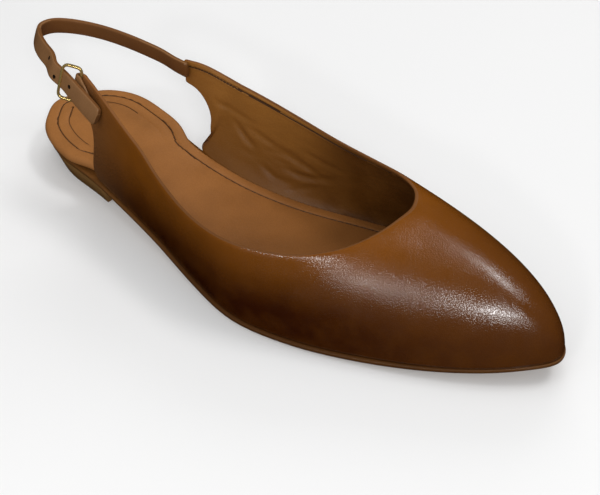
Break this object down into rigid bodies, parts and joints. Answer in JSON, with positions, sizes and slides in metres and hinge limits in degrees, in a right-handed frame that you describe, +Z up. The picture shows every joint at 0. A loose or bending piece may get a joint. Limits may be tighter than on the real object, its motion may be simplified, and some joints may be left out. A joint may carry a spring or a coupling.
{
  "type": "sling back flat",
  "caption": "Leather slip-on flat with a pointed closed toe, a low block heel and a sling strap held by a small side buckle.",
  "frame": {"origin": "middle of the heel's bottom face, on the floor", "axes": "+X towards the toe, +Y towards the wearer's left (the big toe's side of this right shoe), +Z up"},
  "size_m": [0.2632, 0.0869, 0.0661],
  "materials": {
    "sole": "satin dark edge",
    "heel_block": "satin dark leather cover",
    "insole_leather": "smooth tan lining leather",
    "upper_leather": "polished fine-grained cognac leather",
    "strap_leather": "satin cognac leather",
    "buckle_metal": "polished gold-tone"
  },
  "bodies": {
    "root": {"outsole": "sole", "heel": "heel_block", "insole": "insole_leather", "upper": "upper_leather", "sling_strap": "strap_leather", "strap_loop": "strap_leather", "buckle": "buckle_metal"}
  },
  "joints": []
}
